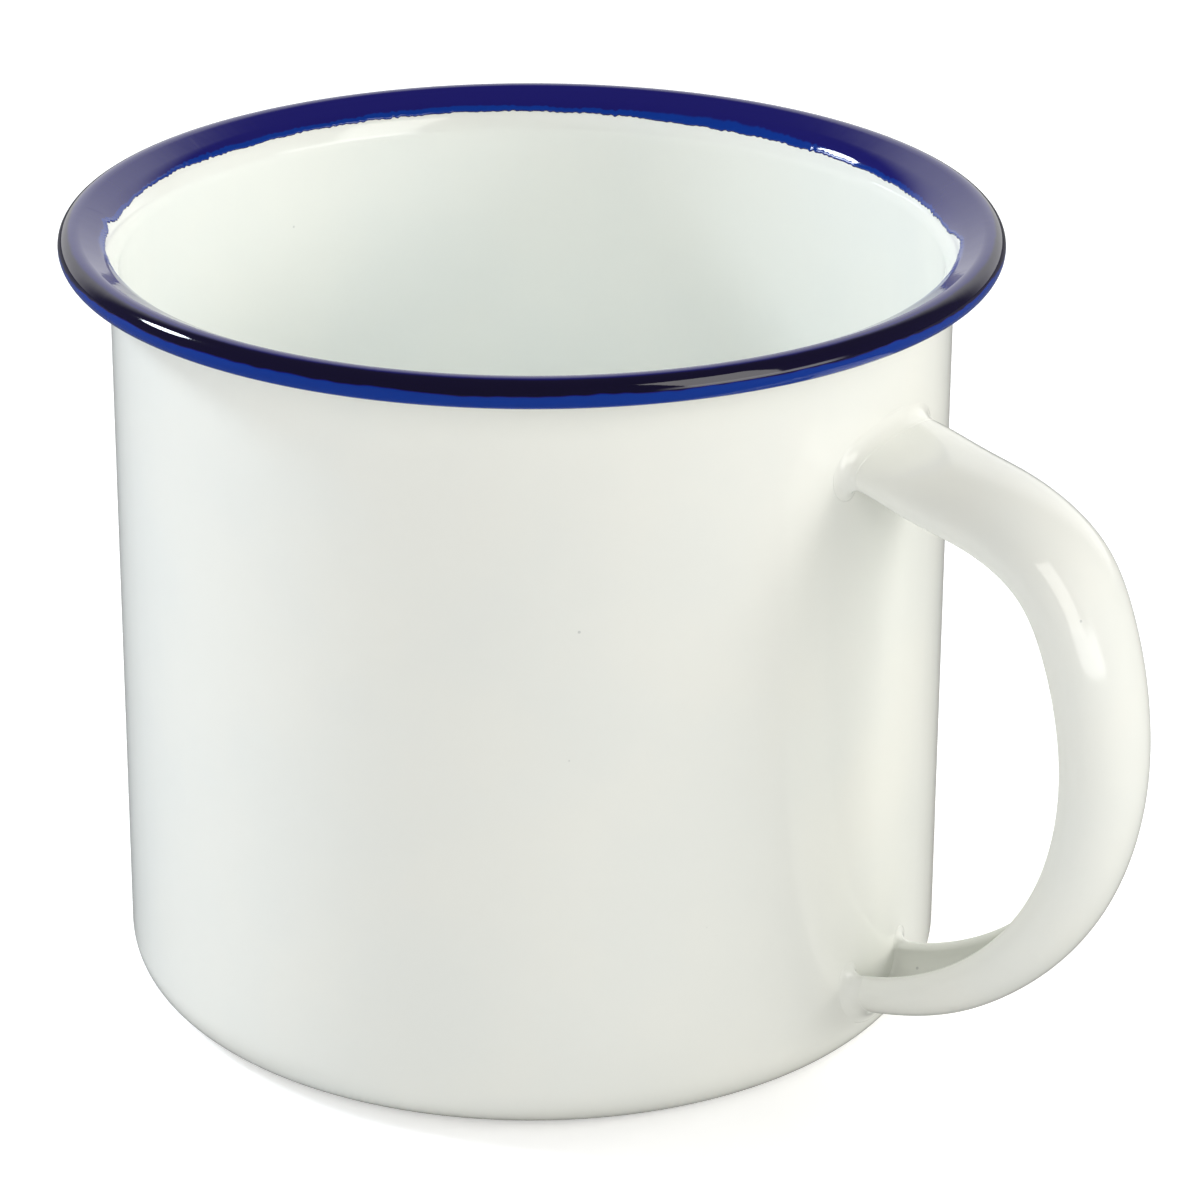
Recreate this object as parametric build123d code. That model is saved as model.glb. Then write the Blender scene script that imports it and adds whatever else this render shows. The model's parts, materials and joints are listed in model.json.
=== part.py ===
from build123d import *
import os
from math import cos, degrees, radians, sin, sqrt

# An enamelled steel mug.  A cup is drawn from thin sheet, its mouth is flared and its edge is
# rolled outwards into a hollow bead.  A pressed channel handle, open towards the cup, is welded
# on at two places.  A dark ground coat and a white cover coat of glass wrap all the steel, the
# cover coat pools in a fillet round each handle joint, and a blue coat lies over the rim.
#
# Frame: millimetres, +Z up, origin at the centre of the flat base, handle along +X.

# ---- Cup: driving dimensions -------------------------------------------------------------
body_diameter = 80.0          # finished outside of the straight wall
overall_height = 77.0         # floor to the top of the finished rim
rim_overhang = 4.75           # finished rim beyond the finished wall, all round
base_corner_radius = 5.0      # finished outside, where the wall turns into the base
flare_radius = 3.15           # middle of the sheet, where the mouth turns outwards
flare_angle = 64.5            # degrees that the flare leans away from the wall
bead_radius = 0.95            # middle of the sheet, in the rolled bead
bead_turn = 280.0             # degrees that the edge is rolled

# ---- Sheet and coats ---------------------------------------------------------------------
cup_sheet = 0.50
handle_sheet = 0.60
ground_coat = 0.08            # each side
cover_coat = 0.12             # each side
rim_coat = 0.10               # outside only
rim_coat_start = 39.0         # degrees up the flare where the blue begins, inside the mouth
rim_coat_end = 240.0          # degrees round the bead where the blue stops, underneath

# ---- Handle: driving dimensions ----------------------------------------------------------
handle_below_rim = 16.3       # top of the rim down to the lips of the upper joint
handle_above_base = 10.1      # floor up to the lips of the lower joint
finger_gap = 21.5             # finished wall to the lips, where the handle stands out most
handle_width = [14.9, 11.9, 9.9]     # finished, at the upper joint, halfway, at the lower joint
handle_depth = [4.1, 5.4, 5.1]       # finished, lips to crown, at the same three places
lip_turn = 18.0               # degrees that the channel's edges curl in past its widest line
# The handle's line, as shares of the finger gap and of the drop between the two joints.
handle_line = [
    (0.000, 1.000),
    (0.465, 0.938),
    (0.770, 0.864),
    (0.925, 0.729),
    (1.000, 0.524),
    (0.878, 0.276),
    (0.669, 0.148),
    (0.461, 0.074),
    (0.000, 0.000),
]
handle_sections = 12          # sections along the handle, between the two joints
joint_fillet = 1.1            # reach of the pooled enamel round each joint
inner_fillet_share = 0.25     # the same inside the channel, as a share of joint_fillet

# ---- Welds -------------------------------------------------------------------------------
weld_depth = 0.12             # into the cup's wall, and into the handle's end
weld_clearance = 0.10         # unmelted steel left on each face of the handle's sheet
weld_width = 3.0              # of the weld on the crown
lip_weld_height = 1.2         # of the welds at the lips, measured up the wall
crown_reach = 8.0             # more than the channel's depth, so that the crown is welded

# ---- Derived sizes -----------------------------------------------------------------------
steel_half = cup_sheet / 2
ground_half = steel_half + ground_coat
cover_half = ground_half + cover_coat
rim_half = cover_half + rim_coat
handle_steel_half = handle_sheet / 2
handle_ground_half = handle_steel_half + ground_coat
handle_cover_half = handle_ground_half + cover_coat

wall_outside = body_diameter / 2              # finished wall
ground_outside = wall_outside - cover_coat    # wall under the white coat
steel_outside = ground_outside - ground_coat  # bare steel wall
wall_middle = wall_outside - cover_half

corner_radius = base_corner_radius - cover_half
corner_centre = (wall_middle - corner_radius, base_corner_radius)
bead_centre = (
    wall_outside + rim_overhang - bead_radius - rim_half,
    overall_height - bead_radius - rim_half,
)
# The straight between flare and bead touches both arcs, which sets where the flare begins.
flare_x = wall_middle + flare_radius
lean = radians(flare_angle)
flare_drop = flare_radius - bead_radius + cos(lean) * (bead_centre[0] - flare_x)
flare_centre = (flare_x, bead_centre[1] - flare_drop / sin(lean))
bead_start = 180 - flare_angle                # angle round the bead where the roll begins


# ---- Cup profile -------------------------------------------------------------------------
# A mark is a point on the middle of the sheet with the unit normal that points to the sheet's
# inner (upper) side.  Every coat's face is the same profile, moved along those normals.
def mark(centre, radius, angle, side=1):
    """Mark on an arc of the profile.  side is 1 where the inner side lies outside the arc."""
    c = cos(radians(angle))
    s = sin(radians(angle))
    point = (centre[0] + radius * c, centre[1] + radius * s)
    return point, (side * c, side * s)


def arc_marks(centre, radius, first, last, side=1):
    """Three marks of an arc: its start, its middle and its end."""
    middle = (first + last) / 2
    return [mark(centre, radius, angle, side) for angle in (first, middle, last)]


def rim_marks(flare_from, bead_to):
    """Marks of the flare, the straight and the bead, from one angle up to the other."""
    flare = arc_marks(flare_centre, flare_radius, 180 - flare_from, bead_start)
    bead = arc_marks(bead_centre, bead_radius, bead_start, bead_start - bead_to)
    return [flare, [flare[-1], bead[0]], bead]


def cup_marks(edge_wrap):
    """Marks of the whole profile, run on past the sheet's edge by edge_wrap."""
    axis = ((0, cover_half), (0, 1))
    corner = arc_marks(corner_centre, corner_radius, -90, 0, side=-1)
    rim = rim_marks(0, bead_turn + degrees(edge_wrap / bead_radius))
    return [[axis, corner[0]], corner, [corner[-1], rim[0][0]]] + rim


def offset_edges(runs, offset):
    """Edges of the profile moved along its normals by offset."""
    edges = []
    for run in runs:
        points = [
            Vector(point[0] + offset * normal[0], 0, point[1] + offset * normal[1])
            for point, normal in run
        ]
        maker = Line if len(points) == 2 else ThreePointArc
        edges.append(maker(*points))
    return edges


def band(runs, low, high):
    """Closed face between two offsets of the same run of marks."""
    lower = offset_edges(runs, low)
    upper = offset_edges(runs, high)
    start_cap = Line(lower[0] @ 0, upper[0] @ 0)
    end_cap = Line(lower[-1] @ 1, upper[-1] @ 1)
    return make_face(lower + upper + [start_cap, end_cap])


def cup_section(half, edge_wrap=0.0):
    """Half section of the cup out to half the given thickness on each side of the sheet."""
    return band(cup_marks(edge_wrap), -half, half)


def spin(section):
    """Solid of revolution about the cup's axis."""
    return revolve(section, Axis.Z, 360)


# ---- Handle ------------------------------------------------------------------------------
joint_low = handle_above_base
joint_high = overall_height - handle_below_rim
run_in = 5.0                   # how far the handle's line is run on inside the wall


def handle_path():
    """The line that the channel's lips follow, in the XZ plane, from the top down."""
    points = [
        (wall_outside + across * finger_gap, 0, joint_low + up * (joint_high - joint_low))
        for across, up in handle_line
    ]
    return Spline(*points)


def along(values, share):
    """Smooth value between three given at the start, the middle and the end of the handle."""
    first, middle, last = values
    bow = 4 * middle - 2 * (first + last)
    return first * (1 - share) + last * share + (bow / 2) * 2 * share * (1 - share)


def channel(width, depth, outer, inner):
    """Closed outline of the channel: width across, depth from lips to crown, both finished.

    outer and inner are the distances from the middle of the sheet to the two faces.  The
    outline lies in XY with the lips near Y = 0 and the crown towards +Y.
    """
    turn = radians(90 + lip_turn)
    half_width = width / 2 - handle_cover_half
    rise = (depth - 2 * handle_cover_half) / (1 + sin(radians(lip_turn)))
    steps = 8

    def face_point(angle, offset):
        x = half_width * sin(angle)
        y = handle_cover_half + rise * (cos(angle) + sin(radians(lip_turn)))
        nx = rise * sin(angle)
        ny = half_width * cos(angle)
        size = sqrt(nx * nx + ny * ny)
        return Vector(x + offset * nx / size, y + offset * ny / size)

    def lip_tip(angle):
        middle = face_point(angle, (outer - inner) / 2)
        normal = face_point(angle, 1) - face_point(angle, 0)
        forward = Vector(-normal.Y, normal.X) * (-1 if angle > 0 else 1)
        return middle + forward * ((outer + inner) / 2)

    angles = [turn * (2 * i / steps - 1) for i in range(steps + 1)]
    outside = [face_point(a, outer) for a in angles]
    inside = [face_point(a, -inner) for a in reversed(angles)]
    return make_face([
        Spline(*outside),
        ThreePointArc(outside[-1], lip_tip(turn), inside[0]),
        Spline(*inside),
        ThreePointArc(inside[-1], lip_tip(-turn), outside[0]),
    ])


def station(origin, direction):
    """Plane of a handle section: local X across the handle, local Y towards the crown."""
    return Plane(origin=origin, x_dir=Vector(0, 1, 0), z_dir=direction)


def channel_solid(outer, inner):
    """The whole handle at the given distances from the middle of its sheet, run on inwards."""
    path = handle_path()
    inward = Vector(run_in, 0, 0)
    first = path @ 0
    last = path @ 1
    places = [
        (first - inward, Vector(1, 0, 0), 0),
        (first, Vector(1, 0, 0), 0),
    ]
    for i in range(1, handle_sections):
        share = i / handle_sections
        places.append((path @ share, path % share, share))
    places += [
        (last, Vector(-1, 0, 0), 1),
        (last - inward, Vector(-1, 0, 0), 1),
    ]
    sections = []
    for origin, direction, share in places:
        outline = channel(along(handle_width, share), along(handle_depth, share), outer, inner)
        sections.append(station(origin, direction) * outline)
    return loft(sections)


def core(radius):
    """Cylinder that stands for the cup out to one radius of its wall."""
    return Pos(0, 0, overall_height / 2) * Cylinder(radius, 2 * overall_height)


# ---- Enamel fillets ----------------------------------------------------------------------
fillet_steps = 8              # sections from the wall out to where a fillet runs out


def pooled(gap):
    """How far the pooled enamel stands off the handle at a distance from the wall."""
    left = joint_fillet - max(gap, 0)
    return joint_fillet - sqrt(joint_fillet ** 2 - left ** 2)


def joint_solid(end, share):
    """Pooled enamel round one joint, from inside the wall to the end of the fillet.

    end is the end of the handle's line on the wall, and share is its place along the handle.
    """
    outwards = Vector(1, 0, 0)
    direction = outwards * (1 - 2 * share)
    gaps = [-run_in] + [joint_fillet * i / fillet_steps for i in range(fillet_steps + 1)]
    sections = []
    for gap in gaps:
        extra = pooled(gap)
        outline = channel(
            along(handle_width, share),
            along(handle_depth, share),
            handle_cover_half + extra,
            handle_cover_half + extra * inner_fillet_share,
        )
        sections.append(station(end + outwards * gap, direction) * outline)
    return loft(sections, ruled=True)


# ---- Welds -------------------------------------------------------------------------------
def weld_spots(middle_of_sheet, lip_height):
    """Melted metal at the crown and at the two lips of one joint.

    middle_of_sheet is the inner part of the handle's sheet, and lip_height is where the lips
    meet the wall.
    """
    ring = core(steel_outside + weld_depth) - core(steel_outside - weld_depth)
    crown = Box(body_diameter, weld_width, 2 * crown_reach)
    lips = Box(body_diameter, body_diameter, 2 * lip_weld_height)
    reach = Pos(wall_outside, 0, lip_height) * (crown + lips)
    return middle_of_sheet & ring & reach


# ---- Pieces ------------------------------------------------------------------------------
def build():
    """Every piece of the mug, by name."""
    top_end = handle_path() @ 0
    low_end = handle_path() @ 1
    strip = channel_solid(handle_steel_half, handle_steel_half)
    strip_ground = channel_solid(handle_ground_half, handle_ground_half)
    strip_cover = channel_solid(handle_cover_half, handle_cover_half)
    melt_half = handle_steel_half - weld_clearance
    melt = channel_solid(melt_half, melt_half)

    upper_welds = weld_spots(melt, joint_high)
    lower_welds = weld_spots(melt, joint_low)
    bare_handle = strip - core(steel_outside)
    grounded_handle = strip_ground - core(ground_outside)
    cup_cuts = upper_welds + lower_welds

    steel = cup_section(steel_half)
    grounded = cup_section(ground_half, ground_coat)
    covered = cup_section(cover_half, ground_coat + cover_coat)
    rim = rim_marks(rim_coat_start, rim_coat_end)
    wall = core(wall_outside)
    return {
        "steel_cup": spin(steel) - cup_cuts,
        "steel_handle": bare_handle - cup_cuts,
        "upper_welds": upper_welds,
        "lower_welds": lower_welds,
        "cup_ground_enamel": spin(grounded - steel) - bare_handle,
        "handle_ground_enamel": grounded_handle - strip,
        "cup_white_enamel": spin(covered - grounded) - grounded_handle,
        "handle_white_enamel": strip_cover - wall - strip_ground,
        "upper_joint_enamel": joint_solid(top_end, 0) - wall - strip_cover,
        "lower_joint_enamel": joint_solid(low_end, 1) - wall - strip_cover,
        "rim_blue_enamel": spin(band(rim, cover_half, rim_half)),
    }


os.makedirs("parts", exist_ok=True)
for name, piece in build().items():
    export_step(piece, f"parts/{name}.step")
    print(name, len(piece.solids()), round(piece.volume, 3))
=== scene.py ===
"""Looks of an enamelled steel mug: a drawn cup with a rolled rim and a pressed channel handle.

The cup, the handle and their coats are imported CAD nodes.  The glass that can be seen (white on
the cup and the handle, the pooled fillets at the joints and the blue on the rim) is built again
here at a finer scale, in the same place, and the steel, welds and ground coats stay inside it.
Sizes are in millimetres, and meshes are written in metres.
"""

from __future__ import annotations

import json
import logging
import math
from dataclasses import dataclass, field
from enum import Enum
from typing import Iterable, Sequence, Union

import bpy
import numpy as np
from mathutils import Matrix, Vector


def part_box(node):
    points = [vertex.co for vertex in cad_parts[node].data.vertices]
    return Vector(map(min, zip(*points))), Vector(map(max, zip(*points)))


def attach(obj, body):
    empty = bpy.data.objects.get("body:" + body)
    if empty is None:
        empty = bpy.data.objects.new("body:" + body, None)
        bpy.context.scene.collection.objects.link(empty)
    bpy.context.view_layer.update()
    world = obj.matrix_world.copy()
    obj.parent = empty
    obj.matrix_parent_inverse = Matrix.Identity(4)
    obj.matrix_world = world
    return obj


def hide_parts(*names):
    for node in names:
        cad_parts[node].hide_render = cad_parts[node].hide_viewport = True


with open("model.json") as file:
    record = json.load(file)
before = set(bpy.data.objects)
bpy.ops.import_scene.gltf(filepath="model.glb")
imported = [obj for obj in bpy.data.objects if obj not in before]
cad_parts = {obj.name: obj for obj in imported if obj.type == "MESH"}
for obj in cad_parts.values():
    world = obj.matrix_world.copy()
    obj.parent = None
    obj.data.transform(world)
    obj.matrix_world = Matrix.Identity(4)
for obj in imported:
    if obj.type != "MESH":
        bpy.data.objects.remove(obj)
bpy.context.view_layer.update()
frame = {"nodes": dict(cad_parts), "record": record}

LOG = logging.getLogger("mug")
MM = 0.001
BODY = "root"


# ---- Shader expressions ------------------------------------------------------------------
class Value:
    """A number that varies over a surface: one output socket, with arithmetic."""

    def __init__(self, graph: "Graph", socket: bpy.types.NodeSocket) -> None:
        """Wraps a socket.

        Args:
            graph: The node graph that the socket belongs to.
            socket: The output socket.
        """
        self.graph = graph
        self.socket = socket

    def _math(self, operation: str, *values: "Operand") -> "Value":
        """Adds a Math node on the given values."""
        node = self.graph.add("ShaderNodeMath", {"operation": operation}, dict(enumerate(values)))
        return Value(self.graph, node.outputs[0])

    def __add__(self, other: "Operand") -> "Value":
        """Sum."""
        return self._math("ADD", self, other)

    def __radd__(self, other: "Operand") -> "Value":
        """Sum, with a number on the left."""
        return self._math("ADD", other, self)

    def __sub__(self, other: "Operand") -> "Value":
        """Difference."""
        return self._math("SUBTRACT", self, other)

    def __rsub__(self, other: "Operand") -> "Value":
        """Difference, with a number on the left."""
        return self._math("SUBTRACT", other, self)

    def __mul__(self, other: "Operand") -> "Value":
        """Product."""
        return self._math("MULTIPLY", self, other)

    def __rmul__(self, other: "Operand") -> "Value":
        """Product, with a number on the left."""
        return self._math("MULTIPLY", other, self)

    def clamp(self) -> "Value":
        """This value held between 0 and 1."""
        return self._math("MINIMUM", self._math("MAXIMUM", self, 0.0), 1.0)

    def step(self, low: float, high: float) -> "Value":
        """Smooth step from 0 at low to 1 at high.

        Args:
            low: Where the step starts.
            high: Where it ends, which may be below low.

        Returns:
            The stepped value.
        """
        t = ((self - low) * (1.0 / (high - low))).clamp()
        return t * t * (3.0 - 2.0 * t)


Operand = Union[Value, float, int]


class Graph:
    """The node graph of one material or world, cleared and ready to be built."""

    def __init__(self, owner: Union[bpy.types.Material, bpy.types.World]) -> None:
        """Clears the owner's nodes.

        Args:
            owner: The material or world to build.
        """
        owner.use_nodes = True
        self.tree = owner.node_tree
        self.tree.nodes.clear()

    def add(
        self, kind: str, settings: dict | None = None, inputs: dict | None = None
    ) -> bpy.types.Node:
        """Adds one node.

        Args:
            kind: The node's type.
            settings: Attributes to set first, such as a Math node's operation.
            inputs: Values or links for its sockets, by name or index.

        Returns:
            The new node.
        """
        node = self.tree.nodes.new(kind)
        for name, value in (settings or {}).items():
            setattr(node, name, value)
        for key, value in (inputs or {}).items():
            self.feed(node.inputs[key], value)
        return node

    def feed(self, target: bpy.types.NodeSocket, value: object) -> None:
        """Links a socket or sets its value.

        Args:
            target: The input socket.
            value: A Value, an output socket, a number, or a tuple of numbers.
        """
        if isinstance(value, Value):
            value = value.socket
        if isinstance(value, bpy.types.NodeSocket):
            self.tree.links.new(value, target)
            return
        if target.type == "RGBA" and len(value) == 3:
            value = (*value, 1.0)
        target.default_value = value

    def value(
        self, kind: str, settings: dict, inputs: dict, output: Union[int, str] = 0
    ) -> Value:
        """Adds a node and wraps one of its outputs as a Value."""
        return Value(self, self.add(kind, settings, inputs).outputs[output])

    def place(self) -> bpy.types.NodeSocket:
        """Place on the object in metres, the same as in the shared frame."""
        return self.add("ShaderNodeTexCoord").outputs["Object"]

    def parts(self, vector: bpy.types.NodeSocket) -> list[Value]:
        """The X, Y and Z of a vector."""
        node = self.add("ShaderNodeSeparateXYZ", inputs={0: vector})
        return [Value(self, socket) for socket in node.outputs]

    def noise(self, wavelength: float, detail: float) -> Value:
        """Noise from 0 to 1 over the object.

        Args:
            wavelength: Distance between its features in millimetres.
            detail: Octaves of finer noise.

        Returns:
            The noise.
        """
        sockets = {"Vector": self.place(), "Scale": 1.0 / (wavelength * MM), "Detail": detail}
        return self.value("ShaderNodeTexNoise", {"noise_dimensions": "3D"}, sockets)

    def spots(self, spacing: float) -> Value:
        """Distance to the nearest of scattered points, in shares of their spacing in mm."""
        sockets = {"Vector": self.place(), "Scale": 1.0 / (spacing * MM), "Randomness": 1.0}
        settings = {"feature": "F1", "distance": "EUCLIDEAN"}
        return self.value("ShaderNodeTexVoronoi", settings, sockets, "Distance")

    def blend(self, factor: Operand, first: object, second: object) -> bpy.types.NodeSocket:
        """Colour mix: first where factor is 0, second where it is 1."""
        node = self.add("ShaderNodeMix", {"data_type": "RGBA", "blend_type": "MIX"})
        self.feed(node.inputs["Factor"], factor)
        self.feed(node.inputs[6], first)
        self.feed(node.inputs[7], second)
        return node.outputs[2]

    def bump(self, height: Value, depth: float) -> bpy.types.NodeSocket:
        """Normal bent by a height from 0 to 1, where 1 stands depth millimetres high."""
        sockets = {"Height": height, "Distance": depth * MM, "Strength": 1.0}
        return self.add("ShaderNodeBump", inputs=sockets).outputs[0]


# ---- Finishes ----------------------------------------------------------------------------
@dataclass(frozen=True)
class Finish:
    """One finish: its name, the record's slot and the sockets it sets on the shader."""

    name: str
    slot: str

    def colour(self, graph: Graph) -> object:
        """Base colour, as a colour or a link."""
        raise NotImplementedError

    def roughness(self, graph: Graph) -> object:
        """Roughness, as a number or a link."""
        return 0.1

    def normal(self, graph: Graph) -> object:
        """Normal link, or None."""
        return None

    def constants(self) -> dict[str, float]:
        """Values that are the same all over the surface."""
        return {}

    def make(self) -> bpy.types.Material:
        """Builds the material.

        Returns:
            The material, with one Principled shader.
        """
        material = bpy.data.materials.new(self.name)
        graph = Graph(material)
        sockets = {"Base Color": self.colour(graph), "Roughness": self.roughness(graph)}
        normal = self.normal(graph)
        if normal is not None:
            sockets["Normal"] = normal
        shader = graph.add("ShaderNodeBsdfPrincipled", inputs={**sockets, **self.constants()})
        graph.add("ShaderNodeOutputMaterial", inputs={"Surface": shader.outputs[0]})
        return material


@dataclass(frozen=True)
class WhiteEnamel(Finish):
    """Glossy white glass over steel: a little uneven, with a few pits and dark specks."""

    light: tuple[float, float, float] = (0.862, 0.870, 0.818)
    cool: tuple[float, float, float] = (0.842, 0.858, 0.815)
    speck: tuple[float, float, float] = (0.30, 0.32, 0.33)
    speck_spacing: float = 5.2
    speck_strength: float = 0.4
    cloud: float = 19.0
    peel: float = 1.9
    peel_depth: float = 0.0035
    sway: float = 13.0
    sway_depth: float = 0.030

    def specks(self, graph: Graph) -> Value:
        """1 in the few tiny dark specks, else 0."""
        near = graph.spots(self.speck_spacing).step(0.035, 0.020)
        return near * graph.noise(2.5 * self.speck_spacing, 0.0).step(0.50, 0.56)

    def colour(self, graph: Graph) -> object:
        """White that leans cooler in broad clouds, with specks."""
        clouds = graph.noise(self.cloud, 3.0).step(0.35, 0.65)
        base = graph.blend(clouds, self.light, self.cool)
        return graph.blend(self.specks(graph) * self.speck_strength, base, self.speck)

    def roughness(self, graph: Graph) -> object:
        """Gloss that varies a little over the surface."""
        return 0.07 + 0.05 * graph.noise(7.0, 3.0)

    def normal(self, graph: Graph) -> object:
        """Broad sway of the sheet, fine orange peel and the specks' pits."""
        height = graph.noise(self.sway, 1.0) * (self.sway_depth / self.peel_depth)
        height = height + graph.noise(self.peel, 2.0) - 2.0 * self.specks(graph)
        return graph.bump(height, self.peel_depth)

    def constants(self) -> dict[str, float]:
        """Index of glass."""
        return {"IOR": 1.52}


@dataclass(frozen=True)
class BlueEnamel(Finish):
    """Cobalt glass over the white: bright where it is thin, violet-black where it is thick, with a
    painted dark reflection across the rim's bead over a painted bright lower face.
    """

    thin: tuple[float, float, float] = (0.0020, 0.032, 0.262)
    flare: tuple[float, float, float] = (0.0090, 0.0075, 0.130)
    # Violet-black of thick pooled glass, also drawn as the painted dark reflection across the
    # bead.
    pooled: tuple[float, float, float] = (0.0050, 0.0030, 0.022)
    # Attribute with the coat's thickness and the painted dark and bright bands on the bead.
    thickness: str = "coat_thickness"
    fine_change: float = 0.14
    broad_change: float = 0.24

    def colour(self, graph: Graph) -> object:
        """Colour by the coat's thickness and the painted bead bands, which the mesh carries."""
        node = graph.add("ShaderNodeAttribute", {"attribute_name": self.thickness})
        depth = Value(graph, node.outputs["Fac"])
        depth = depth + self.fine_change * (graph.noise(1.7, 2.0) - 0.5)
        depth = depth + self.broad_change * (graph.noise(6.0, 3.0) - 0.5)
        body = graph.blend(depth.step(0.10, 0.42), self.thin, self.flare)
        return graph.blend(depth.step(0.55, 0.95), body, self.pooled)

    def roughness(self, graph: Graph) -> object:
        """Bright gloss, hardly varying."""
        return 0.035 + 0.04 * graph.noise(3.0, 2.0)

    def normal(self, graph: Graph) -> object:
        """Soft ripple of the fired glass."""
        height = graph.noise(3.4, 1.0) * 3.0 + graph.noise(1.1, 1.0)
        return graph.bump(height, 0.004)

    def constants(self) -> dict[str, float]:
        """Index of glass."""
        return {"IOR": 1.54}


@dataclass(frozen=True)
class GroundEnamel(Finish):
    """Dark bonding glass with a fine bubble texture."""

    def colour(self, graph: Graph) -> object:
        """Blue-black with paler bubbles."""
        bubbles = graph.spots(0.6).step(0.35, 0.10)
        return graph.blend(bubbles, (0.012, 0.016, 0.030), (0.035, 0.042, 0.060))

    def roughness(self, graph: Graph) -> object:
        """Half gloss."""
        return 0.22 + 0.15 * graph.noise(1.5, 2.0)

    def normal(self, graph: Graph) -> object:
        """Bubbles under the surface."""
        return graph.bump(graph.spots(0.6), 0.006)


@dataclass(frozen=True)
class BareSteel(Finish):
    """Cold-rolled sheet with fine drawing marks up the wall."""

    def colour(self, graph: Graph) -> object:
        """Grey with faint clouds."""
        return graph.blend(graph.noise(9.0, 3.0), (0.47, 0.47, 0.48), (0.55, 0.55, 0.56))

    def roughness(self, graph: Graph) -> object:
        """Satin."""
        return 0.30 + 0.12 * graph.noise(2.0, 3.0)

    def normal(self, graph: Graph) -> object:
        """Fine grain."""
        return graph.bump(graph.noise(0.25, 2.0), 0.003)

    def constants(self) -> dict[str, float]:
        """Metal all over."""
        return {"Metallic": 1.0}


@dataclass(frozen=True)
class WeldMetal(Finish):
    """Melted and set steel, blued by the heat."""

    def colour(self, graph: Graph) -> object:
        """Grey to straw and blue."""
        return graph.blend(graph.noise(0.6, 1.0), (0.40, 0.37, 0.33), (0.28, 0.32, 0.42))

    def roughness(self, graph: Graph) -> object:
        """Dull."""
        return 0.38 + 0.1 * graph.noise(0.4, 1.0)

    def normal(self, graph: Graph) -> object:
        """Rippled skin."""
        return graph.bump(graph.noise(0.3, 2.0), 0.01)

    def constants(self) -> dict[str, float]:
        """Metal all over."""
        return {"Metallic": 1.0}


class Coat(Enum):
    """The finishes of the mug."""

    WHITE = WhiteEnamel("white_enamel", "white_enamel")
    BLUE = BlueEnamel("blue_enamel", "blue_enamel")
    GROUND = GroundEnamel("ground_enamel", "ground_enamel")
    STEEL = BareSteel("bare_steel", "bare_steel")
    WELD = WeldMetal("weld_metal", "weld_metal")


@dataclass
class Paintbox:
    """Makes each finish once and hands it out."""

    made: dict[Coat, bpy.types.Material] = field(default_factory=dict)

    def get(self, coat: Coat) -> bpy.types.Material:
        """The material of a finish, built on first use."""
        if coat not in self.made:
            self.made[coat] = coat.value.make()
        return self.made[coat]

    def dress(self, piece: bpy.types.Object, coat: Coat) -> None:
        """Gives a piece one finish in every slot.

        Args:
            piece: The object to dress.
            coat: Its finish.
        """
        material = self.get(coat)
        if not piece.material_slots:
            piece.data.materials.append(material)
        for slot in piece.material_slots:
            slot.material = material

    def hand_over(self, piece: bpy.types.Object, coat: Coat, node: str) -> bpy.types.Object:
        """Dresses a piece and puts it in the place of a CAD node.

        Args:
            piece: The finished object.
            coat: Its finish.
            node: The node that it stands for.

        Returns:
            The same object.
        """
        self.dress(piece, coat)
        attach(piece, BODY)
        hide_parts(node)
        return piece


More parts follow.
